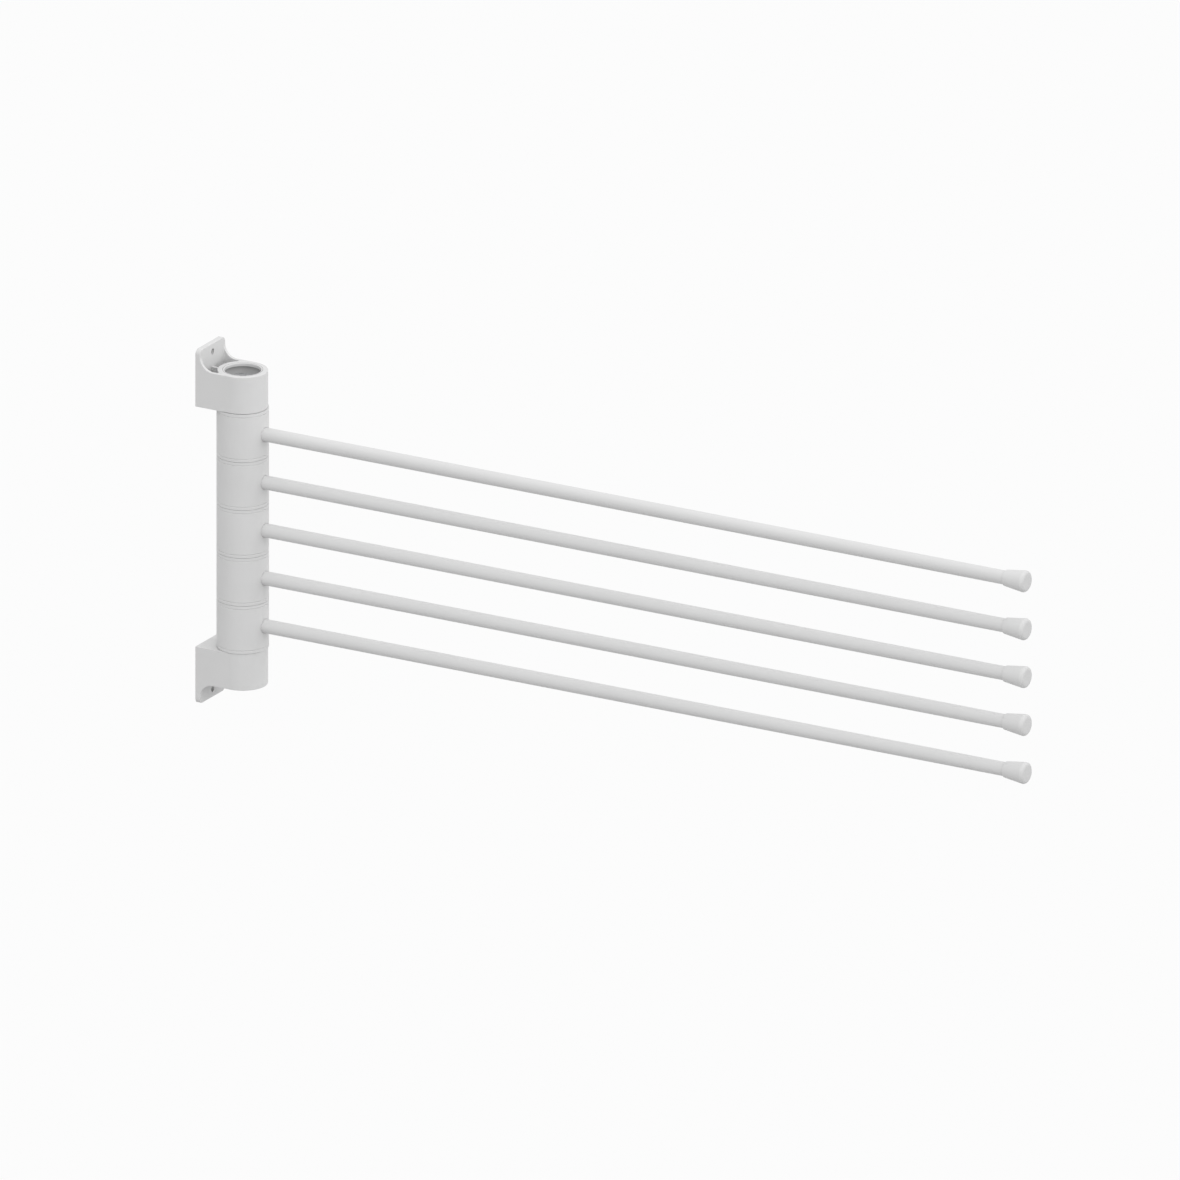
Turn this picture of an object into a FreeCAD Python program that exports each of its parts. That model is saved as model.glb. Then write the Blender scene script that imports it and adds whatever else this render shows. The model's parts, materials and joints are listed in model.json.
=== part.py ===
import FreeCAD, Part
import math
import os
from FreeCAD import Vector

# Swing arm towel bar. Two wall brackets, the same moulding once upright and
# once turned over, hold a vertical pivot. Five hubs turn on the pivot between
# them, and each hub carries one round rod that ends in a flared cap.
#
# Millimetres. X = 0 is the wall face, +X points out of the wall, +Z is up.
# The origin is midway between the two wall screws. At rest every rod points
# straight out of the wall. Arms are numbered from the top.

# The stack of arms
arm_count = 5
arm_pitch = 28.4  # from one rod's axis to the next
arm_reach = 506.2  # from the pivot's axis to the end of a cap
hub_wall_gap = 7.7  # between the wall and the back of a hub

# Running gaps
face_gap = 0.3  # between two hubs, and between a hub and a bracket
bush_clearance = 0.05  # around the sleeve, on the radius

# Rod
rod_diameter = 8.0
rod_wall = 1.0

# Hub
hub_diameter = 29.4
hub_edge = 0.2  # chamfer on the edges of hubs and flanges
socket_floor = 1.5  # wall left between the rod's socket and the bush bore

# Flanged bush
flange_thickness = 1.75
bush_wall = 1.0
bush_length = 7.5  # without its flange

# Pin that locks the rod in the hub, parallel to the pivot
rod_pin_diameter = 2.5
rod_pin_below = 3.0  # how far it passes the rod
rod_pin_set_in = 0.3  # how far its top stays below the hub's end
rod_pin_edge = 0.3

# Flared end cap
cap_length = 13.9
cap_mouth_wall = 0.65  # around the rod where the cap starts
cap_flare_diameter = 13.0  # of its cone, carried on to the end plane
cap_edge_radius = 1.9
cap_socket_depth = 10.0
cap_spigot_length = 8.0
cap_spigot_clearance = 0.05

# Pivot: a bolt inside a spacer sleeve
bolt_diameter = 8.0
bolt_clearance = 0.1  # around the bolt's shank, on the radius
bolt_tip = 1.5  # thread that stands out of the nut
bolt_edge = 0.6
sleeve_wall = 0.95
head_diameter = 12.0
head_height = 5.0
head_edge = 0.5
key_size = 5.0  # across the flats of the head's hexagon socket
key_depth = 2.6
washer_diameter = 16.0
washer_thickness = 1.6
nut_across_flats = 13.0
nut_height = 6.5
nut_edge = 0.8

# Bracket
bracket_inset = 0.5  # how much smaller its radius is than a hub's
bracket_height = 21.7  # from its hub side to the ring's outer face
web_thickness = 3.0  # the floor on the hub side
side_wall = 2.0
rib_thickness = 2.0
rib_set_down = 1.8  # the rib's edge below the ring's outer face
ring_wall = 2.95
lip_height = 1.85
lip_overhang = 0.9  # how far the lip reaches in over the recess
boss_diameter = 16.0
head_set_down = 4.3  # the bolt head's top below the ring's outer face
plate_thickness = 3.0
tongue_height = 12.0  # beyond the ring's outer face
tongue_corner = 3.0
gusset_radius = 8.1  # hollow curve from the tongue down to each side wall
bracket_edge = 0.4  # rounding of the bracket's edges
hub_side_edge = 0.2  # rounding of its edge beside the hub
pocket_corner = 1.0
sharp_angle = 25.0  # degrees between two faces from which their edge is rounded
screw_hole_diameter = 3.4
screw_hole_height = 7.15  # beyond the ring's outer face

# Values that follow
hub_radius = hub_diameter / 2
rod_radius = rod_diameter / 2
pivot_x = hub_wall_gap + hub_radius
hub_barrel = arm_pitch - face_gap - 2 * flange_thickness
sleeve_radius = bolt_diameter / 2 + bolt_clearance + sleeve_wall
bush_bore_radius = sleeve_radius + bush_clearance
bush_radius = bush_bore_radius + bush_wall
rod_root = bush_radius + socket_floor  # from the pivot's axis
rod_end = arm_reach - cap_length + cap_socket_depth
bracket_radius = hub_radius - bracket_inset
bracket_face = (arm_count * arm_pitch + face_gap) / 2  # height of its hub side
recess_radius = bracket_radius - ring_wall
lip_radius = recess_radius - lip_overhang
seat_height = bracket_height - head_set_down - head_height - washer_thickness
tongue_top = bracket_height + tongue_height


def cylinder(radius, low, high):
    """Upright cylinder around the pivot's axis, between two heights."""
    return Part.makeCylinder(radius, high - low, Vector(pivot_x, 0, low))


def slab(x_low, x_high, half_width, low, high):
    """Block that is centred across the part."""
    corner = Vector(x_low, -half_width, low)
    return Part.makeBox(x_high - x_low, 2 * half_width, high - low, corner)


def closed_face(edges_or_points):
    """Face inside a closed outline, given as points or as edges."""
    if isinstance(edges_or_points[0], Vector):
        points = edges_or_points + edges_or_points[:1]
        return Part.Face(Part.makePolygon(points))
    return Part.Face(Part.Wire(edges_or_points))


def turned_on_pivot(profile):
    """Solid turned around the pivot from (radius, height) points."""
    points = [Vector(pivot_x + radius, 0, height) for radius, height in profile]
    return closed_face(points).revolve(Vector(pivot_x, 0, 0), Vector(0, 0, 1), 360)


def hexagon(across_flats, low, high):
    """Upright hexagonal prism around the pivot's axis."""
    corner = across_flats / math.sqrt(3)
    angles = [math.radians(60 * step) for step in range(6)]
    points = [Vector(pivot_x + corner * math.cos(a), corner * math.sin(a), low) for a in angles]
    return closed_face(points).extrude(Vector(0, 0, high - low))


def turned_over(shape):
    """Copy turned half a turn about the X axis, for the lower side."""
    copy = shape.copy()
    copy.rotate(Vector(0, 0, 0), Vector(1, 0, 0), 180)
    return copy


def side_outline():
    """Bracket seen from the side: base, hollow curve and screw tongue."""
    front = pivot_x + bracket_radius
    curve_x = plate_thickness + gusset_radius
    curve_top = bracket_height + gusset_radius
    middle = gusset_radius * (1 - math.sqrt(0.5))
    halfway = Vector(plate_thickness + middle, 0, bracket_height + middle)
    points = [
        Vector(plate_thickness, 0, curve_top),
        Vector(plate_thickness, 0, tongue_top),
        Vector(0, 0, tongue_top),
        Vector(0, 0, 0),
        Vector(front, 0, 0),
        Vector(front, 0, bracket_height),
        Vector(curve_x, 0, bracket_height),
    ]
    edges = [Part.makeLine(start, end) for start, end in zip(points, points[1:])]
    edges.append(Part.Arc(points[-1], halfway, points[0]).toShape())
    return closed_face(edges)


def plan_outline():
    """Bracket seen along the pivot: round in front, rounded at the tongue."""
    plan = slab(0, pivot_x, bracket_radius, 0, tongue_top)
    plan = plan.fuse(cylinder(bracket_radius, 0, tongue_top)).removeSplitter()
    corners = [edge for edge in plan.Edges if is_tongue_corner(edge)]
    return plan.makeFillet(tongue_corner, corners)


def is_tongue_corner(edge):
    """True for the two edges along X at the tongue's end."""
    box = edge.BoundBox
    along_x = box.XLength > plate_thickness / 2 and box.YLength < bracket_edge
    return along_x and box.ZMin > bracket_height


def is_upright(edge):
    """True for an edge that runs straight up."""
    box = edge.BoundBox
    return box.ZLength > pocket_corner and box.XLength + box.YLength < bracket_edge / 2


def round_cornered(block):
    """Block with its upright corners rounded."""
    corners = [edge for edge in block.Edges if is_upright(edge)]
    return block.makeFillet(pocket_corner, corners)


def pocket():
    """Hollow behind the ring, and the space between the gussets above it."""
    half_width = bracket_radius - side_wall
    behind_ring = slab(plate_thickness, pivot_x, half_width, web_thickness, bracket_height)
    behind_ring = behind_ring.cut(cylinder(bracket_radius, web_thickness, bracket_height))
    above = slab(plate_thickness, pivot_x, half_width, bracket_height, tongue_top)
    return round_cornered(behind_ring).fuse(round_cornered(above))


def recess():
    """Round recess for the bolt's head or nut, narrower at its lip."""
    lip_low = bracket_height - lip_height
    wide = cylinder(recess_radius, web_thickness, lip_low)
    return wide.fuse(cylinder(lip_radius, lip_low, bracket_height))


def is_sharp(body, edge):
    """True for an edge off the wall at which two faces meet at a clear angle."""
    if edge.BoundBox.XMax < bracket_edge:
        return False
    point = edge.valueAt((edge.FirstParameter + edge.LastParameter) / 2)
    faces = body.ancestorsOfType(edge, Part.Face)
    normals = [face.normalAt(*face.Surface.parameter(point)) for face in faces]
    return math.degrees(normals[0].getAngle(normals[1])) > sharp_angle


def rounded_rims(body):
    """Body with its edges rounded at the hub side, and from the ring's face up."""
    top = [edge for edge in body.Edges if edge.BoundBox.ZMin > bracket_height - bracket_edge]
    body = body.makeFillet(bracket_edge, [edge for edge in top if is_sharp(body, edge)])
    bottom = [edge for edge in body.Edges if edge.BoundBox.ZMax < hub_side_edge]
    return body.makeFillet(hub_side_edge, [edge for edge in bottom if is_sharp(body, edge)])


def bracket():
    """Bracket with its hub side at height 0 and its tongue upwards."""
    side = side_outline()
    side.translate(Vector(0, -bracket_radius, 0))
    body = side.extrude(Vector(0, 2 * bracket_radius, 0)).common(plan_outline()).removeSplitter()
    body = rounded_rims(body.cut(pocket()).cut(recess()).removeSplitter())
    rib_end = pivot_x - recess_radius - ring_wall / 2
    rib = slab(0, rib_end, rib_thickness / 2, 0, bracket_height - rib_set_down)
    body = body.fuse([rib, cylinder(boss_diameter / 2, 0, seat_height)])
    body = body.cut(cylinder(bolt_diameter / 2 + bolt_clearance, 0, seat_height))
    hole_start = Vector(0, 0, bracket_height + screw_hole_height)
    hole = Part.makeCylinder(screw_hole_diameter / 2, plate_thickness, hole_start, Vector(1, 0, 0))
    return body.cut(hole).removeSplitter()


def upper_bracket():
    """Bracket in its place above the hubs."""
    placed = bracket()
    placed.translate(Vector(0, 0, bracket_face))
    return placed


def washer(seat):
    """Plain washer on the boss of a bracket."""
    ring = cylinder(washer_diameter / 2, seat, seat + washer_thickness)
    return ring.cut(cylinder(bolt_diameter / 2 + bolt_clearance, seat, seat + washer_thickness))


def pivot_sleeve():
    """Spacer sleeve between the two brackets, on which the bushes turn."""
    outside = cylinder(sleeve_radius, -bracket_face, bracket_face)
    inside = cylinder(sleeve_radius - sleeve_wall, -bracket_face, bracket_face)
    return outside.cut(inside)


def pivot_bolt():
    """Bolt with a low round head and a hexagon socket."""
    shank_radius = bolt_diameter / 2
    head_radius = head_diameter / 2
    under_head = bracket_face + seat_height + washer_thickness
    head_top = under_head + head_height
    tip = -(under_head + nut_height + bolt_tip)
    profile = [
        (0, tip),
        (shank_radius - bolt_edge, tip),
        (shank_radius, tip + bolt_edge),
        (shank_radius, under_head),
        (head_radius, under_head),
        (head_radius, head_top - head_edge),
        (head_radius - head_edge, head_top),
        (0, head_top),
    ]
    key_socket = hexagon(key_size, head_top - key_depth, head_top)
    return turned_on_pivot(profile).cut(key_socket)


def pivot_nut():
    """Hexagon nut under the lower bracket's washer, with chamfered corners."""
    high = -(bracket_face + seat_height + washer_thickness)
    low = high - nut_height
    corner_radius = nut_across_flats / math.sqrt(3)
    flat_radius = corner_radius - nut_edge
    slope = nut_edge * math.tan(math.radians(30))
    envelope = turned_on_pivot([
        (0, low),
        (flat_radius, low),
        (corner_radius, low + slope),
        (corner_radius, high - slope),
        (flat_radius, high),
        (0, high),
    ])
    body = hexagon(nut_across_flats, low, high).common(envelope)
    return body.cut(cylinder(bolt_diameter / 2, low, high))


def hub(middle):
    """Hub barrel at the height of one arm, with the rod's socket."""
    low = middle - hub_barrel / 2
    high = middle + hub_barrel / 2
    barrel = turned_on_pivot([
        (bush_radius, low),
        (hub_radius - hub_edge, low),
        (hub_radius, low + hub_edge),
        (hub_radius, high - hub_edge),
        (hub_radius - hub_edge, high),
        (bush_radius, high),
    ])
    socket = along_rod(rod_radius, rod_root, hub_diameter, middle)
    return barrel.cut(socket).cut(rod_pin_hole(middle))


def along_rod(radius, start, end, middle):
    """Cylinder along a rod, between two distances from the pivot's axis."""
    return Part.makeCylinder(radius, end - start, Vector(pivot_x + start, 0, middle), Vector(1, 0, 0))


def rod_pin_place():
    """Distance from the pivot's axis to the pin: the middle of the socket."""
    return (rod_root + hub_radius) / 2


def rod_pin_hole(middle):
    """Hole for the pin, from the hub's upper end down past the rod."""
    low = middle - rod_radius - rod_pin_below
    height = middle + hub_barrel / 2 - low
    start = Vector(pivot_x + rod_pin_place(), 0, low)
    return Part.makeCylinder(rod_pin_diameter / 2, height, start)


def rod_pin(middle):
    """Pin with chamfered ends, pressed through the hub and the rod's root."""
    radius = rod_pin_diameter / 2
    low = middle - rod_radius - rod_pin_below
    high = middle + hub_barrel / 2 - rod_pin_set_in
    axis_x = pivot_x + rod_pin_place()
    profile = [
        (0, low),
        (radius - rod_pin_edge, low),
        (radius, low + rod_pin_edge),
        (radius, high - rod_pin_edge),
        (radius - rod_pin_edge, high),
        (0, high),
    ]
    points = [Vector(axis_x + offset, 0, height) for offset, height in profile]
    return closed_face(points).revolve(Vector(axis_x, 0, 0), Vector(0, 0, 1), 360)


def bush(middle, side):
    """Flanged bush at the upper (side 1) or lower (side -1) end of a hub."""
    outer = middle + side * (hub_barrel / 2 + flange_thickness)
    inner = middle + side * hub_barrel / 2
    return turned_on_pivot([
        (bush_bore_radius, outer),
        (hub_radius - hub_edge, outer),
        (hub_radius, outer - side * hub_edge),
        (hub_radius, inner + side * hub_edge),
        (hub_radius - hub_edge, inner),
        (bush_radius, inner),
        (bush_radius, inner - side * bush_length),
        (bush_bore_radius, inner - side * bush_length),
    ])


def rod(middle):
    """Tube from its seat in the hub to the floor of the cap's socket."""
    tube = along_rod(rod_radius, rod_root, rod_end, middle)
    tube = tube.cut(along_rod(rod_radius - rod_wall, rod_root, rod_end, middle))
    return tube.cut(rod_pin_hole(middle))


def end_cap(middle):
    """Cone that widens outwards, with a rounded edge, a socket and a spigot."""
    mouth = arm_reach - cap_length
    mouth_radius = rod_radius + cap_mouth_wall
    widening = (cap_flare_diameter / 2 - mouth_radius) / cap_length
    slant = math.hypot(1, widening)
    round_x = arm_reach - cap_edge_radius
    round_r = cap_flare_diameter / 2 - widening * cap_edge_radius - cap_edge_radius * slant
    turn = (math.pi / 2 + math.atan(widening)) / 2
    spigot_radius = rod_radius - rod_wall - cap_spigot_clearance

    def at(distance, radius):
        return Vector(pivot_x + distance, 0, middle + radius)

    face_edge = at(arm_reach, round_r)
    halfway = at(round_x + cap_edge_radius * math.cos(turn), round_r + cap_edge_radius * math.sin(turn))
    cone_end = at(round_x - cap_edge_radius * widening / slant, round_r + cap_edge_radius / slant)
    inside = [
        cone_end,
        at(mouth, mouth_radius),
        at(mouth, rod_radius),
        at(rod_end, rod_radius),
        at(rod_end, spigot_radius),
        at(rod_end - cap_spigot_length, spigot_radius),
        at(rod_end - cap_spigot_length, 0),
        at(arm_reach, 0),
        face_edge,
    ]
    edges = [Part.makeLine(start, end) for start, end in zip(inside, inside[1:])]
    edges.append(Part.Arc(face_edge, halfway, cone_end).toShape())
    return closed_face(edges).revolve(at(0, 0), Vector(1, 0, 0), 360)


def arm(number):
    """The pieces of one arm, by node name."""
    middle = ((arm_count + 1) / 2 - number) * arm_pitch
    return {
        f"hub_{number}": hub(middle),
        f"upper_bush_{number}": bush(middle, 1),
        f"lower_bush_{number}": bush(middle, -1),
        f"rod_{number}": rod(middle),
        f"rod_pin_{number}": rod_pin(middle),
        f"end_cap_{number}": end_cap(middle),
    }


def towel_bar():
    """Every piece of the towel bar, by node name."""
    upper = upper_bracket()
    upper_washer = washer(bracket_face + seat_height)
    nodes = {
        "upper_bracket": upper,
        "lower_bracket": turned_over(upper),
        "pivot_bolt": pivot_bolt(),
        "pivot_sleeve": pivot_sleeve(),
        "head_washer": upper_washer,
        "nut_washer": turned_over(upper_washer),
        "pivot_nut": pivot_nut(),
    }
    for number in range(1, arm_count + 1):
        nodes.update(arm(number))
    return nodes


os.makedirs("parts", exist_ok=True)
for name, shape in towel_bar().items():
    shape.exportStep(f"parts/{name}.step")
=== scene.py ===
import json
import math

import bpy
import numpy as np
from mathutils import Matrix, Vector


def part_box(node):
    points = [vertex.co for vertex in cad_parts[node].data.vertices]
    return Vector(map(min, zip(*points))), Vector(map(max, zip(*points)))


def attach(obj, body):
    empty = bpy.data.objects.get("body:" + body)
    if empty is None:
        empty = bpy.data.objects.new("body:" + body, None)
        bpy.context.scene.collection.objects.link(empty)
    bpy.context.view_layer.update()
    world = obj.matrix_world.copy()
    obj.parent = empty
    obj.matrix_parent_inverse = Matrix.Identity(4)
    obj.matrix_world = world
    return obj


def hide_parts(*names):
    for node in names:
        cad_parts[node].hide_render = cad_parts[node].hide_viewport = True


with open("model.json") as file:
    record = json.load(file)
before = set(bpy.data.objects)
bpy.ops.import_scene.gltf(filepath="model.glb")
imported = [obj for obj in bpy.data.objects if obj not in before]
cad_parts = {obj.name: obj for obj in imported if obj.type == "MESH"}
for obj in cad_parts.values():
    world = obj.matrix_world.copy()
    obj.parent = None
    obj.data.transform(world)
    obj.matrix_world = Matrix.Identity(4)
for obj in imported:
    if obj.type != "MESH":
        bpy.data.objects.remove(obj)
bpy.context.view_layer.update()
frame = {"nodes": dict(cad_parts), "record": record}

# Looks of the swing arm towel bar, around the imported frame. Sizes below are in
# millimetres and become metres where a mesh is made. Places come from the frame.
MM = 0.001

ROUND_STEPS = 5  # facets on a rounded edge
LEAD = 0.03  # straight bit beside a rounded edge, which keeps the flat beside it flat
WELD = 0.001  # points nearer than this are one point
TINY = 1e-9  # in place of a length of nothing, where a length divides
SMOOTH_BELOW = 40  # degrees between two faces up to which they shade as one

FINE_TURN = 144  # segments around a hub, a bush or a cap
ROD_TURN = 72
PIN_TURN = 48
STEEL_TURN = 96  # a multiple of six, so that a hexagon's corners fall on segments


# ---------------------------------------------------------------- measuring


def middle_of(node):
    """Middle of a CAD node's box, in millimetres."""
    low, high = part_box(node)
    return np.array((low + high) / 2) / MM


def reach_of(node, axis):
    """Lowest and highest coordinate of a CAD node along one axis, in millimetres."""
    low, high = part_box(node)
    return low[axis] / MM, high[axis] / MM


arm_numbers = sorted(int(node.split("_")[1]) for node in frame["nodes"] if node.startswith("hub_"))
pivot_x = middle_of("hub_1")[0]
hub_radius = (reach_of("hub_1", 1)[1] - reach_of("hub_1", 1)[0]) / 2
rod_radius = (reach_of("rod_1", 1)[1] - reach_of("rod_1", 1)[0]) / 2
mounts = {mount["name"]: mount for mount in frame["record"]["mounts"]}
screw_hole_radius = mounts["wall_screws"]["dims"]["hole_r_mm"]
screw_hole_height = mounts["wall_screws"]["dims"]["spacing_y_mm"] / 2  # above and below the middle
cap_face = reach_of("end_cap_1", 0)[1]

# Fits and edges, which the boxes don't tell
SLIGHT_EDGE = 0.1  # where nothing tells how far an edge is broken
PLAY = 0.02  # between two pieces that are pressed together
CRISP = 0.05  # straight bit that keeps the corner beside it crisp
HUB_EDGE = 0.3
HUB_WINDOW = 6.4  # half the height of the hole left for the rod's socket
BUSH_OUTSIDE = 6.1
BUSH_BORE = 5.1
BUSH_FLANGE_EDGE = 0.3  # beside the hub
BUSH_PROUD = 0.07  # how far its running face stands out, to leave a fine seam
ROD_WALL = 1.0
ROD_EDGE = 0.12
ROD_END = 2.0  # left whole at either end, where the rest is cut into lengths
ROD_LENGTHS = 24
SOCKET_PLAY = 0.03
SOCKET_MOUTH = 0.3
SOCKET_FLOOR = 7.6  # from the pivot's axis
CAP_MOUTH = 4.65
CAP_MOUTH_EDGE = 0.2
CAP_FLARE = 6.5
CAP_EDGE = 1.9
CAP_SOCKET = 10.0
CAP_SPIGOT = 8.0
SPIGOT_PLAY = 0.05
SPIGOT_EDGE = 0.3
BOLT_RADIUS = 4.0
BOLT_HOLE = 4.1
BOLT_CHAMFER = 0.7
HEAD_RADIUS = 6.0
HEAD_HEIGHT = 5.0
HEAD_EDGE = 0.5
UNDERCUT = 0.3  # rounding where the shank meets the head
KEY_FLATS = 5.0
KEY_DEPTH = 2.6
KEY_CHAMFER = 0.15
KEY_POINT = 0.7  # how far the drill's point goes below the key's floor
NUT_FLATS = 13.0
NUT_CHAMFER = 0.8
NUT_FACE = 1.2  # ring of flat face around the bore
NUT_SINK = 0.5  # countersink
THREAD_PITCH = 1.25
THREAD_DEPTH = 0.62
THREAD_LENGTH = 13.0
THREAD_STEPS = 14  # rows of points to a pitch
THREAD_FLAT = 0.15  # share of crest and root that is flat
THREAD_FADE = 1.5  # length over which it runs out
PIN_RADIUS = 1.25
PIN_EDGE = 0.3
WASHER_EDGE = 0.18
SLEEVE_BORE = 4.1
SLEEVE_EDGE = 0.15
RECESS_RADIUS = 11.25  # of the bracket's round recess
RECESS_LIP = 91.0  # height of its lip's underside, from the middle


# ------------------------------------------------------------------- shapes


def rounded(points, radius, closed):
    """Outline with each corner replaced by an arc.

    At a corner with the half angle h, the arc of radius r touches both sides
    at r / tan(h) from the corner, and its centre lies r / sin(h) along the
    bisector. The arc's points come by turning one touch radius to the other.
    """
    corners = np.array(points, float)
    size = np.broadcast_to(np.asarray(radius, float), (len(corners),))[:, None]
    to_last = np.roll(corners, 1, axis=0) - corners
    to_next = np.roll(corners, -1, axis=0) - corners
    to_last /= np.maximum(np.linalg.norm(to_last, axis=1, keepdims=True), TINY)
    to_next /= np.maximum(np.linalg.norm(to_next, axis=1, keepdims=True), TINY)
    cosine = np.clip((to_last * to_next).sum(axis=1, keepdims=True), -1, 1)
    half = np.arccos(cosine) / 2
    touch = size / np.tan(half)
    bisector = to_last + to_next
    bisector /= np.maximum(np.linalg.norm(bisector, axis=1, keepdims=True), TINY)
    centre = corners + bisector * size / np.sin(half)
    start = corners + to_last * touch - centre
    end = corners + to_next * touch - centre
    sweep = (math.pi - 2 * half)[:, :, None]
    share = np.linspace(0, 1, ROUND_STEPS)[None, :, None]
    arc = np.sin((1 - share) * sweep) * start[:, None] + np.sin(share * sweep) * end[:, None]
    arc = centre[:, None] + arc / np.sin(sweep)
    before = (corners + to_last * (touch + LEAD))[:, None]
    after = (corners + to_next * (touch + LEAD))[:, None]
    pieces = np.concatenate([before, arc, after], axis=1)
    if closed:
        return pieces.reshape(-1, 2)
    inner = pieces[1:-1].reshape(-1, 2)
    return np.concatenate([corners[:1], inner, corners[-1:]])


def turned(profile, segments, closed, shape=None):
    """Surface turned around the Z axis.

    The point (r, h) of the profile at the angle a lies at
    (r cos a, r sin a, h). With shape given, r is shape(r, h, a) instead.
    Returns the grid of points and its faces.
    """
    angle = np.arange(segments) * 2 * math.pi / segments
    radius = np.repeat(profile[:, :1], segments, axis=1)
    height = np.repeat(profile[:, 1:2], segments, axis=1)
    if shape is not None:
        radius = shape(radius, height, angle[None, :])
    grid = np.stack([radius * np.cos(angle), radius * np.sin(angle), height], axis=2)
    return grid.reshape(-1, 3), quads_of(len(profile), segments, closed, True)


def quads_of(rows, columns, rows_meet, columns_meet):
    """Faces of a grid of points that are numbered row by row."""
    row = np.arange(rows if rows_meet else rows - 1)[:, None]
    column = np.arange(columns if columns_meet else columns - 1)[None, :]
    next_row = (row + 1) % rows
    next_column = (column + 1) % columns
    corners = [
        row * columns + column,
        row * columns + next_column,
        next_row * columns + next_column,
        next_row * columns + column,
    ]
    return np.stack(corners, axis=2).reshape(-1, 4)


def joined(*surfaces):
    """Several (points, faces) as one."""
    counts = np.cumsum([0] + [len(points) for points, faces in surfaces[:-1]])
    points = np.concatenate([points for points, faces in surfaces])
    faces = np.concatenate([faces + first for first, (_, faces) in zip(counts, surfaces)])
    return points, faces


def laid_along_x(surface):
    """Surface that was turned around Z, laid over so that Z becomes X."""
    points, faces = surface
    return points[:, [2, 0, 1]], faces


def moved(surface, offset):
    """Surface shifted by an offset."""
    points, faces = surface
    return points + np.asarray(offset, float), faces


def hexagon_radius(flats, angle):
    """Distance from the centre to a hexagon's side: half the width across the
    flats over the cosine of the angle from the middle of that side."""
    from_side = (angle + math.pi / 6) % (math.pi / 3) - math.pi / 6
    return flats / 2 / np.cos(from_side)


def mesh_from(name, surface):
    """Closed mesh with outward faces: equal points welded, squares that a pole
    folds made triangles, and all faces turned if the volume comes out negative."""
    points, faces = surface
    keys = np.round(points / WELD).astype(np.int64)
    _, first, place = np.unique(keys, axis=0, return_index=True, return_inverse=True)
    points = points[first] * MM
    faces = place.reshape(-1)[faces]
    same = faces == np.roll(faces, -1, axis=1)
    squares = faces[same.sum(axis=1) == 0]
    folded = same.sum(axis=1) == 1
    triangles = faces[folded][~same[folded]].reshape(-1, 3)
    halves = np.concatenate([squares[:, [0, 1, 2]], squares[:, [0, 2, 3]], triangles])
    a, b, c = (points[halves[:, k]] for k in range(3))
    if np.einsum("ij,ij->i", a, np.cross(b, c)).sum() < 0:
        squares = squares[:, ::-1]
        triangles = triangles[:, ::-1]
    mesh = bpy.data.meshes.new(name)
    mesh.from_pydata(points.tolist(), [], squares.tolist() + triangles.tolist())
    mesh.validate()
    mesh.shade_smooth()
    mesh.set_sharp_from_angle(angle=math.radians(SMOOTH_BELOW))
    mesh.update()
    return mesh


def add_piece(name, surface, body, slot, material, *nodes):
    """Object for a finished surface, which rides on a body in place of its CAD nodes."""
    piece = bpy.data.objects.new(name, mesh_from(name, surface))
    bpy.context.scene.collection.objects.link(piece)
    piece.data.materials.append(material)
    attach(piece, body)
    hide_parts(*nodes)


# ------------------------------------------------------------ pieces of an arm


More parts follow.
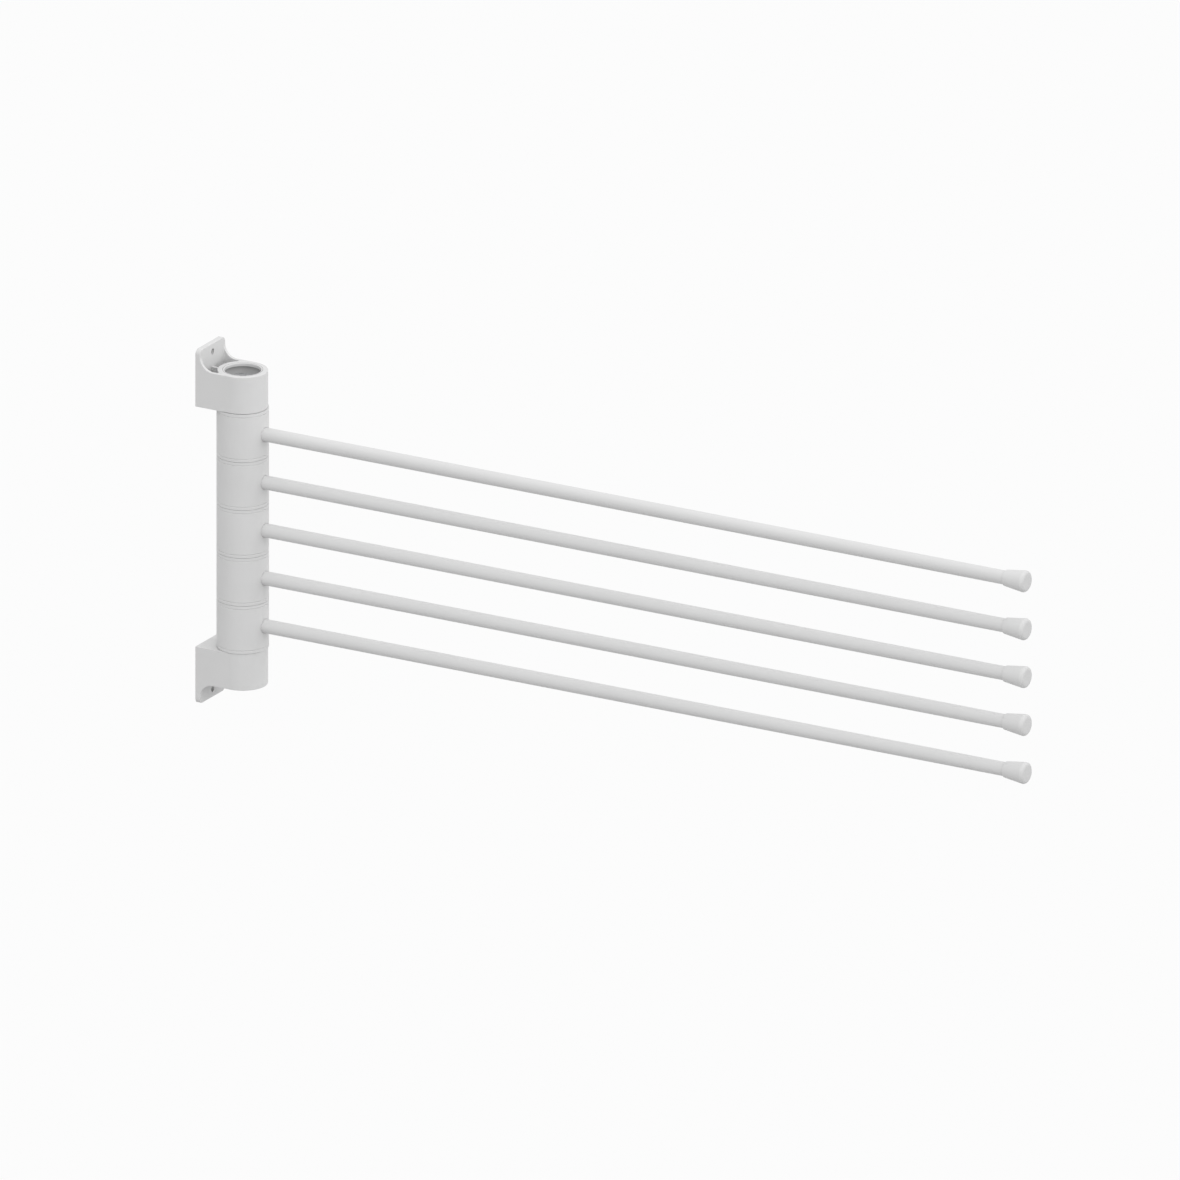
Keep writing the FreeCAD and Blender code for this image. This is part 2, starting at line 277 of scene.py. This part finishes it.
def hub_surface(low, high):
    """Hub: a ring turned around the pivot, with a round socket for the rod.

    The ring's outline is rounded and turned. A window is left in its wall. From
    the window's edge the surface runs on straight lines, seen along the rod, to
    a circle, with x = sqrt(R^2 - y^2) on the way, then over a rounded mouth
    down the socket's wall to its floor.
    """
    rows_across = 12
    columns_across = 20
    rows_to_mouth = 8
    half = (high - low) / 2
    middle = (high + low) / 2
    ring = rounded(
        [(hub_radius, -half), (hub_radius, half), (BUSH_OUTSIDE, half), (BUSH_OUTSIDE, -half)],
        HUB_EDGE,
        True,
    )
    per_corner = ROUND_STEPS + 2
    across = np.linspace(-HUB_WINDOW, HUB_WINDOW, rows_across + 1)
    wall = np.stack([np.full_like(across, hub_radius), across], axis=1)
    profile = np.concatenate([ring[:per_corner], wall, ring[per_corner:]])
    points, faces = turned(profile, FINE_TURN, True)
    row = np.arange(len(profile))[:, None]
    column = np.arange(FINE_TURN)[None, :]
    in_rows = (row >= per_corner) & (row < per_corner + rows_across)
    side = columns_across // 2
    in_window = in_rows & ((column < side) | (column >= FINE_TURN - side))
    barrel = points, faces[~in_window.reshape(-1)]

    turn = np.arange(-side, side + 1) * 2 * math.pi / FINE_TURN
    edge_angle = np.concatenate([
        np.full(rows_across, turn[-1]),
        turn[:0:-1],
        np.full(rows_across, turn[0]),
        turn[:-1],
    ])
    edge_z = np.concatenate([
        across[:-1],
        np.full(columns_across, HUB_WINDOW),
        across[:0:-1],
        np.full(columns_across, -HUB_WINDOW),
    ])
    edge_y = hub_radius * np.sin(edge_angle)
    around = np.arctan2(edge_z, edge_y)
    socket_radius = rod_radius + SOCKET_PLAY
    mouth_radius = socket_radius + SOCKET_MOUTH
    share = np.linspace(0, 1, rows_to_mouth)[:, None]
    face_y = (1 - share) * edge_y + share * mouth_radius * np.cos(around)
    face_z = (1 - share) * edge_z + share * mouth_radius * np.sin(around)
    face_x = np.sqrt(hub_radius**2 - face_y**2)
    bend = np.linspace(0, math.pi / 2, ROUND_STEPS)[1:, None]
    bend_radius = mouth_radius - SOCKET_MOUTH * np.sin(bend)
    bend_y = bend_radius * np.cos(around)
    bend_z = bend_radius * np.sin(around)
    bend_x = np.sqrt(hub_radius**2 - bend_y**2) - SOCKET_MOUTH * (1 - np.cos(bend))
    floor_radius = np.array([1.0, 1.0, 0.99, 0.5, 0.0])[:, None] * socket_radius
    floor_x = SOCKET_FLOOR + np.array([CRISP, 0.0, 0.0, 0.0, 0.0])[:, None]
    floor_y = floor_radius * np.cos(around)
    floor_z = floor_radius * np.sin(around)
    grid = np.stack([
        np.concatenate([face_x, bend_x, floor_x + 0 * floor_y]),
        np.concatenate([face_y, bend_y, floor_y]),
        np.concatenate([face_z, bend_z, floor_z]),
    ], axis=2)
    rows, columns = grid.shape[:2]
    socket = grid.reshape(-1, 3), quads_of(rows, columns, False, True)
    return moved(joined(barrel, socket), (pivot_x, 0, middle))


def bush_surface(outer, inner, end):
    """Flanged bush: its rounded outline, flange and sleeve, turned around the pivot."""
    face = outer + math.copysign(BUSH_PROUD, outer - inner)
    outline = [
        (BUSH_BORE, end),
        (BUSH_OUTSIDE - PLAY, end),
        (BUSH_OUTSIDE - PLAY, inner),
        (hub_radius, inner),
        (hub_radius, face),
        (BUSH_BORE, face),
    ]
    radii = [SLIGHT_EDGE, SLIGHT_EDGE, PLAY, BUSH_FLANGE_EDGE, SLIGHT_EDGE, SLIGHT_EDGE]
    return moved(turned(rounded(outline, radii, True), FINE_TURN, True), (pivot_x, 0, 0))


def rod_surface(start, end, height):
    """Tube: a ring outline with broken edges, turned around the rod's axis and
    cut into even lengths."""
    bore = rod_radius - ROD_WALL
    lengths = np.linspace(start + ROD_END, end - ROD_END, ROD_LENGTHS + 1)
    outline = [(rod_radius, start), (rod_radius, end), (bore, end), (bore, start)]
    outline = rounded(outline, ROD_EDGE, True)
    per_corner = ROUND_STEPS + 2
    wall = np.stack([np.full_like(lengths, rod_radius), lengths], axis=1)
    outline = np.concatenate([outline[:per_corner], wall, outline[per_corner:]])
    return moved(laid_along_x(turned(outline, ROD_TURN, True)), (0, 0, height))


def cap_surface(mouth, end, height):
    """End cap: a cone that widens to the front, its front edge an arc of the
    edge radius, with the tube's socket and the spigot inside, turned around
    the rod's axis."""
    seat = mouth + CAP_SOCKET
    spigot_end = seat - CAP_SPIGOT
    spigot = rod_radius - ROD_WALL - SPIGOT_PLAY
    outline = [
        (0, spigot_end),
        (spigot, spigot_end),
        (spigot, seat),
        (rod_radius + PLAY, seat),
        (rod_radius + PLAY, mouth),
        (CAP_MOUTH, mouth),
        (CAP_FLARE, end),
        (0, end),
    ]
    spigot_radii = [SLIGHT_EDGE, SPIGOT_EDGE, SLIGHT_EDGE]
    radii = spigot_radii + [SLIGHT_EDGE, ROD_EDGE, CAP_MOUTH_EDGE, CAP_EDGE, SLIGHT_EDGE]
    profile = rounded(outline, radii, False)
    return moved(laid_along_x(turned(profile, FINE_TURN, False)), (0, 0, height))


def pin_surface(low, high, place_x):
    """Lock pin: a rounded rectangle turned around its own axis."""
    outline = [(0, low), (PIN_RADIUS, low), (PIN_RADIUS, high), (0, high)]
    return moved(turned(rounded(outline, PIN_EDGE, False), PIN_TURN, False), (place_x, 0, 0))


# ----------------------------------------------------------- pieces of the pivot


def washer_surface(low, high, radius):
    """Plain washer: a rounded rectangle turned around the pivot."""
    outline = [(radius, low), (radius, high), (BOLT_HOLE, high), (BOLT_HOLE, low)]
    return moved(turned(rounded(outline, WASHER_EDGE, True), STEEL_TURN, True), (pivot_x, 0, 0))


def sleeve_surface(low, high, radius):
    """Spacer sleeve: a ring outline turned around the pivot."""
    outline = [(radius, low), (radius, high), (SLEEVE_BORE, high), (SLEEVE_BORE, low)]
    return moved(turned(rounded(outline, SLEEVE_EDGE, True), STEEL_TURN, True), (pivot_x, 0, 0))


def bolt_surface(tip, top):
    """Bolt with a low round head, a hexagon key socket and a threaded end.

    Turned around the pivot. Inside the key socket the radius is that of a
    hexagon. Along the thread the radius swings between crest and root as a
    triangle wave of height over pitch minus the turn.
    """
    under_head = top - HEAD_HEIGHT
    thread_end = tip + THREAD_LENGTH
    floor = top - KEY_DEPTH
    key_radius = KEY_FLATS / 2
    shank = np.array([(0, tip), (BOLT_RADIUS - BOLT_CHAMFER, tip)], float)
    steps = int(THREAD_LENGTH / THREAD_PITCH * THREAD_STEPS)
    thread_z = np.linspace(tip + CRISP, thread_end, steps)
    thread = np.stack([np.full(steps, BOLT_RADIUS), thread_z], axis=1)
    head = rounded(
        [
            (BOLT_RADIUS, thread_end),
            (BOLT_RADIUS, under_head),
            (HEAD_RADIUS, under_head),
            (HEAD_RADIUS, top),
            (key_radius + 2 * KEY_CHAMFER, top),
        ],
        [SLIGHT_EDGE, UNDERCUT, SLIGHT_EDGE, HEAD_EDGE, SLIGHT_EDGE],
        False,
    )[1:]
    key = np.array([
        (key_radius + KEY_CHAMFER, top),
        (key_radius, top - KEY_CHAMFER),
        (key_radius, top - KEY_CHAMFER - CRISP),
        (key_radius, floor + CRISP),
        (key_radius, floor),
        (key_radius - CRISP, floor - PLAY),
        (0, floor - KEY_POINT),
    ])
    profile = np.concatenate([shank, thread, head, key])
    key_row = len(profile) - len(key)
    row = np.arange(len(profile))[:, None]

    def shape(radius, height, angle):
        hexagon = hexagon_radius(1, angle) * 2 * radius
        turn = height / THREAD_PITCH - angle / (2 * math.pi)
        wave = 1 - np.abs(2 * (turn % 1) - 1)
        fade = np.clip((thread_end - height) / THREAD_FADE, 0, 1)
        cut = np.clip(wave * (1 + 2 * THREAD_FLAT) - THREAD_FLAT, 0, 1)
        threaded = radius - THREAD_DEPTH * fade * cut
        tapered = np.minimum(threaded, BOLT_RADIUS - BOLT_CHAMFER + (height - tip))
        between_ends = (height > tip + CRISP / 2) & (height < thread_end - CRISP / 2)
        in_thread = between_ends & (radius > BOLT_RADIUS - BOLT_CHAMFER / 2)
        return np.where(row >= key_row, hexagon, np.where(in_thread, tapered, radius))

    return moved(turned(profile, STEEL_TURN, False, shape), (pivot_x, 0, 0))


def nut_surface(low, high):
    """Hexagon nut: at each height the radius is the smaller of the hexagon's
    and of the cone that breaks its corners, and its bore has a countersink."""
    corner = NUT_FLATS / math.sqrt(3)
    slope = math.tan(math.radians(30))
    fall = NUT_CHAMFER * slope
    rise = np.linspace(0, fall * 1.1, 9)  # a little past the chamfer's end
    heights = np.concatenate([low + rise, high - rise[::-1]])
    side = np.stack([np.full_like(heights, corner), heights], axis=1)
    bore = np.array([
        (BOLT_RADIUS + NUT_FACE, high),
        (BOLT_RADIUS + NUT_SINK, high),
        (BOLT_RADIUS + PLAY, high - NUT_SINK),
        (BOLT_RADIUS + PLAY, low + NUT_SINK),
        (BOLT_RADIUS + NUT_SINK, low),
        (BOLT_RADIUS + NUT_FACE, low),
    ])
    profile = np.concatenate([side, bore])
    side_rows = np.arange(len(profile))[:, None] < len(side)

    def shape(radius, height, angle):
        from_end = np.minimum(height - low, high - height)
        cone = corner - NUT_CHAMFER + from_end / slope
        hexagon = np.minimum(hexagon_radius(NUT_FLATS, angle), cone)
        return np.where(side_rows, hexagon, radius)

    return moved(turned(profile, STEEL_TURN, True, shape), (pivot_x, 0, 0))


# ---------------------------------------------------------------- materials

PALE = (0.62, 0.62, 0.62)
ROD_PALE = (0.63, 0.63, 0.63)
CAP_PALE = (0.635, 0.635, 0.635)
ZINC = (0.62, 0.63, 0.64)
BLACK = (0.0, 0.0, 0.0)

# Patterns are counted in cells to the metre, and depths are in metres
CLOUDING = (0.985, 1.015)  # darkest and lightest share of a tone
GLOSS_WANDER = 0.05  # how far a roughness wanders to either side
PLASTIC_GLOSS = 0.4
PLASTIC_CLOUDS = 42
FLOW_MARKS = 260
SINK_MARKS = 70
SINK_DEPTH = 0.0004
SINK_STRENGTH = 0.1
GRAIN = 5200
GRAIN_DEPTH = 0.00004
GRAIN_STRENGTH = 0.35

COAT_GLOSS = 0.3
COAT_CLOUDS = 30
COAT_STRETCH = (0.3, 1, 1)  # clouds drawn out along the tube
COAT_PATCHES = 500
COAT_DULLER = 0.06
PEEL = 900
PEEL_DEPTH = 0.0001
PEEL_STRENGTH = 0.12
FINE_PEEL = 3600
FINE_PEEL_DEPTH = 0.00003
FINE_PEEL_STRENGTH = 0.16

STEEL_CLOUDS = 300
STEEL_CLOUDING = (0.94, 1.04)
STEEL_RINGS = 9000
STEEL_SHINIER = 0.07
STEEL_DULLER = 0.1
RING_DEPTH = 0.00001
RING_STRENGTH = 0.3

# Shares of black painted as shade, where light hardly reaches and over the cap's end, and where
# they apply, in millimetres
HOLE_SHADE = (0.05, 0.4)  # on the side towards the hubs, and on the far side
HOLE_NEAR = 0.04  # off the hole's wall
LIP_SHADE = 0.6
LIP_SHADE_REACH = 5.0  # down from the lip
RECESS_NEAR = 0.15  # off the recess wall
# painted shade over the cap's rounded edge and flat end
END_SHADE = 0.1


class Finish:
    """Node tree of one finish, built from small steps on Object coordinates."""

    def __init__(self, name, tone, roughness, metallic=0.0, specular=0.5):
        self.material = bpy.data.materials.new(name)
        self.material.use_nodes = True
        self.nodes = self.material.node_tree.nodes
        self.links = self.material.node_tree.links
        self.surface = self.nodes["Principled BSDF"]
        self.surface.inputs["Base Color"].default_value = (*tone, 1)
        self.surface.inputs["Roughness"].default_value = roughness
        self.surface.inputs["Metallic"].default_value = metallic
        self.surface.inputs["Specular IOR Level"].default_value = specular
        self.place = self.nodes.new("ShaderNodeTexCoord").outputs["Object"]

    def join(self, source, target):
        """Link from one socket to another."""
        self.links.new(source, target)

    def axes(self):
        """The three coordinates one by one."""
        split = self.nodes.new("ShaderNodeSeparateXYZ")
        self.join(self.place, split.inputs["Vector"])
        return split.outputs["X"], split.outputs["Y"], split.outputs["Z"]

    def distance(self, first, second):
        """Root of the sum of two squares."""
        one = self.maths("MULTIPLY", first, first)
        other = self.maths("MULTIPLY", second, second)
        return self.maths("SQRT", self.maths("ADD", one, other))

    def off_pivot(self):
        """Distance from the pivot's axis, in metres."""
        x, y, _ = self.axes()
        return self.distance(self.maths("SUBTRACT", x, float(pivot_x * MM)), y)

    def noise(self, cells, detail, stretch=None):
        """Noise with a number of cells to the metre, stretched if asked."""
        node = self.nodes.new("ShaderNodeTexNoise")
        node.inputs["Scale"].default_value = cells
        node.inputs["Detail"].default_value = detail
        source = self.place
        if stretch is not None:
            mapping = self.nodes.new("ShaderNodeMapping")
            mapping.inputs["Scale"].default_value = stretch
            self.join(self.place, mapping.inputs["Vector"])
            source = mapping.outputs["Vector"]
        self.join(source, node.inputs["Vector"])
        return node.outputs["Fac"]

    def between(self, value, low, high, from_low=0.3, from_high=0.7):
        """Value mapped from one range to another, by default from the range
        in which a noise mostly lies."""
        node = self.nodes.new("ShaderNodeMapRange")
        node.inputs["From Min"].default_value = from_low
        node.inputs["From Max"].default_value = from_high
        node.inputs["To Min"].default_value = low
        node.inputs["To Max"].default_value = high
        self.join(value, node.inputs["Value"])
        return node.outputs["Result"]

    def maths(self, operation, first, second=None):
        """One arithmetic step on sockets or numbers."""
        node = self.nodes.new("ShaderNodeMath")
        node.operation = operation
        for place, value in enumerate((first, second)):
            if value is None:
                continue
            if isinstance(value, (int, float)):
                node.inputs[place].default_value = value
            else:
                self.join(value, node.inputs[place])
        return node.outputs["Value"]

    def blend(self, share, first, second):
        """Colour between two colours or sockets, by a share."""
        node = self.nodes.new("ShaderNodeMix")
        node.data_type = "RGBA"
        self.join(share, node.inputs["Factor"])
        for socket, value in (("A", first), ("B", second)):
            target = [s for s in node.inputs if s.name == socket and s.type == "RGBA"][0]
            if isinstance(value, tuple):
                target.default_value = (*value, 1)
            else:
                self.join(value, target)
        return [s for s in node.outputs if s.type == "RGBA"][0]

    def clouded(self, tone, cells, clouding, stretch=None):
        """Tone that wanders in soft clouds between a darker and a lighter share of it."""
        darkest, lightest = clouding
        share = self.between(self.noise(cells, 3, stretch), 0, 1)
        return self.blend(share, shade(tone, darkest), shade(tone, lightest))

    def raise_by(self, height, depth, strength, under=None):
        """Bump of a depth in metres, on top of another bump if given."""
        node = self.nodes.new("ShaderNodeBump")
        node.inputs["Strength"].default_value = strength
        node.inputs["Distance"].default_value = depth
        self.join(height, node.inputs["Height"])
        if under is not None:
            self.join(under, node.inputs["Normal"])
        return node.outputs["Normal"]

    def use(self, colour, roughness, normal):
        """Feeds the shader, and gives the material."""
        self.join(colour, self.surface.inputs["Base Color"])
        self.join(roughness, self.surface.inputs["Roughness"])
        self.join(normal, self.surface.inputs["Normal"])
        return self.material


def shade(tone, factor):
    """Colour made lighter or darker."""
    return tuple(channel * factor for channel in tone)


def moulded_plastic(name, tone, roughness, grain=1.0):
    """Satin moulded plastic: a fine spark-eroded grain, faint flow marks in its
    gloss and a trace of cloudiness in its colour."""
    finish = Finish(name, tone, roughness, specular=PLASTIC_GLOSS)
    colour = finish.clouded(tone, PLASTIC_CLOUDS, CLOUDING)
    flow = finish.noise(FLOW_MARKS, 3)
    rough = finish.between(flow, roughness - GLOSS_WANDER, roughness + GLOSS_WANDER)
    sink = finish.raise_by(finish.noise(SINK_MARKS, 2), SINK_DEPTH, SINK_STRENGTH)
    fine = finish.raise_by(finish.noise(GRAIN, 2), GRAIN_DEPTH, GRAIN_STRENGTH * grain, sink)
    return finish, colour, rough, fine


def shaded_hollows(finish, colour):
    """Colour made darker where light hardly reaches: in the two screw holes,
    most on the side away from the hubs, and on the recess wall, by the square
    of the nearness to its lip."""
    _, y, z = finish.axes()
    height = finish.maths("ABSOLUTE", z)
    outward = finish.maths("SUBTRACT", height, screw_hole_height * MM)
    hole_reach = (screw_hole_radius + HOLE_NEAR) * MM
    in_hole = finish.maths("LESS_THAN", finish.distance(y, outward), hole_reach)
    rim = screw_hole_radius * MM
    hole_shade = finish.between(outward, *HOLE_SHADE, -rim, rim)
    past_wall = finish.maths("SUBTRACT", finish.off_pivot(), RECESS_RADIUS * MM)
    on_wall = finish.maths("LESS_THAN", finish.maths("ABSOLUTE", past_wall), RECESS_NEAR * MM)
    shade_start = (RECESS_LIP - LIP_SHADE_REACH) * MM
    nearness = finish.between(height, 0, 1, shade_start, RECESS_LIP * MM)
    lip_shade = finish.maths("MULTIPLY", finish.maths("MULTIPLY", nearness, nearness), LIP_SHADE)
    share = finish.maths(
        "ADD",
        finish.maths("MULTIPLY", in_hole, hole_shade),
        finish.maths("MULTIPLY", on_wall, lip_shade),
    )
    return finish.blend(share, colour, BLACK)


def shaded_end(finish, colour):
    """Painted shade: colour made a little darker over the cap's rounded edge, to its flat end."""
    x, _, _ = finish.axes()
    share = finish.between(x, 0, END_SHADE, (cap_face - CAP_EDGE) * MM, cap_face * MM)
    return finish.blend(share, colour, BLACK)


def powder_coat(name, tone, roughness):
    """Powder coat on tube: a low orange peel with a finer one over it."""
    finish = Finish(name, tone, roughness, specular=COAT_GLOSS)
    colour = finish.clouded(tone, COAT_CLOUDS, CLOUDING, COAT_STRETCH)
    patches = finish.noise(COAT_PATCHES, 2)
    rough = finish.between(patches, roughness - GLOSS_WANDER, roughness + COAT_DULLER)
    peel = finish.raise_by(finish.noise(PEEL, 2), PEEL_DEPTH, PEEL_STRENGTH)
    fine = finish.raise_by(finish.noise(FINE_PEEL, 1), FINE_PEEL_DEPTH, FINE_PEEL_STRENGTH, peel)
    return finish.use(colour, rough, fine)


def plated_steel(name, tone, roughness):
    """Bright plating over turned steel: fine rings by the distance from the
    pivot's axis and by height, in its gloss and bump, and cloudy patches in its colour."""
    finish = Finish(name, tone, roughness, metallic=1.0)
    _, _, z = finish.axes()
    noise = finish.nodes.new("ShaderNodeTexNoise")
    noise.noise_dimensions = "1D"
    noise.inputs["Scale"].default_value = STEEL_RINGS
    noise.inputs["Detail"].default_value = 2
    finish.join(finish.maths("ADD", finish.off_pivot(), z), noise.inputs["W"])
    rings = noise.outputs["Fac"]
    colour = finish.clouded(tone, STEEL_CLOUDS, STEEL_CLOUDING)
    rough = finish.between(rings, roughness - STEEL_SHINIER, roughness + STEEL_DULLER)
    turned_marks = finish.raise_by(rings, RING_DEPTH, RING_STRENGTH)
    return finish.use(colour, rough, turned_marks)


finish, colour, *rest = moulded_plastic("bracket_moulded_plastic", PALE, roughness=0.45)
bracket_material = finish.use(shaded_hollows(finish, colour), *rest)
finish, *rest = moulded_plastic("hub_moulded_plastic", PALE, roughness=0.43, grain=0.8)
hub_material = finish.use(*rest)
finish, *rest = moulded_plastic("bush_slick_plastic", PALE, roughness=0.4, grain=0.5)
bush_material = finish.use(*rest)
finish, colour, *rest = moulded_plastic("cap_moulded_plastic", CAP_PALE, roughness=0.52, grain=0.8)
cap_material = finish.use(shaded_end(finish, colour), *rest)
rod_material = powder_coat("rod_powder_coat", ROD_PALE, roughness=0.5)
steel_material = plated_steel("pivot_zinc_plated_steel", ZINC, roughness=0.34)


# ------------------------------------------------------------------ the object


def keep_node(node, material):
    """CAD node that is shown as it is, with its detailed finish."""
    piece = frame["nodes"][node]
    piece.data.materials.clear()
    piece.data.materials.append(material)


def add_arm(number):
    """The pieces of one arm."""
    body = f"arm_{number}"
    hub = f"hub_{number}"
    low, high = reach_of(hub, 2)
    height = (low + high) / 2
    add_piece(f"{body}_hub", hub_surface(low, high), body, "hub_plastic", hub_material, hub)
    for side in ("upper", "lower"):
        node = f"{side}_bush_{number}"
        bush_low, bush_high = reach_of(node, 2)
        if side == "upper":
            surface = bush_surface(bush_high, high, bush_low)
        else:
            surface = bush_surface(bush_low, low, bush_high)
        add_piece(f"{body}_{side}_bush", surface, body, "bush_plastic", bush_material, node)
    start, end = reach_of(f"rod_{number}", 0)
    rod = rod_surface(start, end, height)
    add_piece(f"{body}_tube", rod, body, "rod_coating", rod_material, f"rod_{number}")
    mouth, face = reach_of(f"end_cap_{number}", 0)
    cap = cap_surface(mouth, face, height)
    add_piece(f"{body}_cap", cap, body, "cap_plastic", cap_material, f"end_cap_{number}")
    pin = f"rod_pin_{number}"
    surface = pin_surface(*reach_of(pin, 2), middle_of(pin)[0])
    add_piece(f"{body}_lock_pin", surface, body, "plated_steel", steel_material, pin)


def add_pivot():
    """Bolt, sleeve, washers and nut of the pivot."""
    tip, top = reach_of("pivot_bolt", 2)
    pieces = [
        ("bolt_with_key_socket", bolt_surface(tip, top), "pivot_bolt"),
        ("hexagon_nut", nut_surface(*reach_of("pivot_nut", 2)), "pivot_nut"),
    ]
    for node in ("head_washer", "nut_washer"):
        radius = reach_of(node, 1)[1]
        pieces.append((f"plain_{node}", washer_surface(*reach_of(node, 2), radius), node))
    radius = reach_of("pivot_sleeve", 1)[1]
    sleeve = sleeve_surface(*reach_of("pivot_sleeve", 2), radius)
    pieces.append(("spacer_sleeve", sleeve, "pivot_sleeve"))
    for name, surface, node in pieces:
        add_piece(name, surface, "wall_mount", "plated_steel", steel_material, node)


for arm_number in arm_numbers:
    add_arm(arm_number)
add_pivot()
for bracket in ("upper_bracket", "lower_bracket"):
    keep_node(bracket, bracket_material)


# ------------------------------------------------------------ floor and light

BACKDROP = 0.973  # linear, the photograph's near white
FLOOR_DROP = 1.0  # metres below the origin
FLOOR_SIZE = 60.0
FLOOR_GREY = 0.44  # how much light the floor sends back up at the object
SHADOW_SHARE = 0.4  # share of the floor's look that shadows can darken
SKY_LEVEL = 1.03  # light from the horizon
SKY_SLOPE = (0.52, -0.107, 0.308)  # how much more comes from +X, +Y and above
SKY_UP = SKY_LEVEL + SKY_SLOPE[2] * 2 / 3  # light on an upward face


def seen_directly(nodes, links):
    """1 for rays from the camera, a mirror or through glass, else 0."""
    path = nodes.new("ShaderNodeLightPath")
    first = nodes.new("ShaderNodeMath")
    first.operation = "MAXIMUM"
    second = nodes.new("ShaderNodeMath")
    second.operation = "MAXIMUM"
    links.new(path.outputs["Is Camera Ray"], first.inputs[0])
    links.new(path.outputs["Is Glossy Ray"], first.inputs[1])
    links.new(first.outputs["Value"], second.inputs[0])
    links.new(path.outputs["Is Transmission Ray"], second.inputs[1])
    return second.outputs["Value"]


def floor_material():
    """Grey to the object, near white to the eye, and part of that near white
    is plain diffuse, so that the floor keeps the object's shadow."""
    material = bpy.data.materials.new("studio_floor")
    material.use_nodes = True
    nodes, links = material.node_tree.nodes, material.node_tree.links
    nodes.remove(nodes["Principled BSDF"])
    grey = nodes.new("ShaderNodeBsdfDiffuse")
    grey.inputs["Color"].default_value = (FLOOR_GREY,) * 3 + (1,)
    pale = nodes.new("ShaderNodeBsdfDiffuse")
    pale.inputs["Color"].default_value = (BACKDROP / SKY_UP,) * 3 + (1,)
    white = nodes.new("ShaderNodeEmission")
    white.inputs["Color"].default_value = (BACKDROP,) * 3 + (1,)
    looks = nodes.new("ShaderNodeMixShader")
    looks.inputs["Fac"].default_value = SHADOW_SHARE
    links.new(white.outputs["Emission"], looks.inputs[1])
    links.new(pale.outputs["BSDF"], looks.inputs[2])
    choice = nodes.new("ShaderNodeMixShader")
    links.new(seen_directly(nodes, links), choice.inputs["Fac"])
    links.new(grey.outputs["BSDF"], choice.inputs[1])
    links.new(looks.outputs["Shader"], choice.inputs[2])
    links.new(choice.outputs["Shader"], nodes["Material Output"].inputs["Surface"])
    return material


def add_floor():
    """Flat floor, well below the object, which hangs on a wall."""
    half = FLOOR_SIZE / 2
    corners = [(-half, -half), (half, -half), (half, half), (-half, half)]
    mesh = bpy.data.meshes.new("studio_floor")
    mesh.from_pydata([(x, y, -FLOOR_DROP) for x, y in corners], [], [(0, 1, 2, 3)])
    mesh.materials.append(floor_material())
    floor = bpy.data.objects.new("studio_floor", mesh)
    bpy.context.scene.collection.objects.link(floor)


def add_world():
    """Soft studio light from all round: brighter overhead and in front of the
    wall. The eye sees the near white."""
    world = bpy.data.worlds.new("studio_light")
    bpy.context.scene.world = world
    world.use_nodes = True
    nodes, links = world.node_tree.nodes, world.node_tree.links
    light = nodes["Background"]
    place = nodes.new("ShaderNodeTexCoord")
    slope = nodes.new("ShaderNodeVectorMath")
    slope.operation = "DOT_PRODUCT"
    slope.inputs[1].default_value = SKY_SLOPE
    level = nodes.new("ShaderNodeMath")
    level.operation = "ADD"
    level.inputs[1].default_value = SKY_LEVEL
    links.new(place.outputs["Generated"], slope.inputs[0])
    links.new(slope.outputs["Value"], level.inputs[0])
    links.new(level.outputs["Value"], light.inputs["Strength"])
    light.inputs["Color"].default_value = (1, 1, 1, 1)
    backdrop = nodes.new("ShaderNodeBackground")
    backdrop.inputs["Color"].default_value = (BACKDROP,) * 3 + (1,)
    choice = nodes.new("ShaderNodeMixShader")
    links.new(seen_directly(nodes, links), choice.inputs["Fac"])
    links.new(light.outputs["Background"], choice.inputs[1])
    links.new(backdrop.outputs["Background"], choice.inputs[2])
    links.new(choice.outputs["Shader"], nodes["World Output"].inputs["Surface"])


# ----------------------------------------------------------------- the camera

AZIMUTH = math.radians(30.0)
ELEVATION = math.radians(19.58)
VIEW_WIDTH = 0.6592
LOOK_RIGHT = 0.21338
LOOK_DOWN = 0.03958
DISTANCE = 1.5


def add_camera():
    """Parallel view from the photograph's angle, framed as it is."""
    right = Vector((math.cos(AZIMUTH), math.sin(AZIMUTH), 0))
    back = Vector((
        math.sin(AZIMUTH) * math.cos(ELEVATION),
        -math.cos(AZIMUTH) * math.cos(ELEVATION),
        math.sin(ELEVATION),
    ))
    up = back.cross(right)
    lens = bpy.data.cameras.new("photo_view")
    lens.type = "ORTHO"
    lens.ortho_scale = VIEW_WIDTH
    camera = bpy.data.objects.new("photo_view", lens)
    bpy.context.scene.collection.objects.link(camera)
    place = right * LOOK_RIGHT - up * LOOK_DOWN + back * DISTANCE
    turn = Matrix((right, up, back)).transposed().to_4x4()
    camera.matrix_world = Matrix.Translation(place) @ turn
    bpy.context.scene.camera = camera


add_floor()
add_world()
add_camera()
bpy.context.scene.view_settings.view_transform = "Standard"
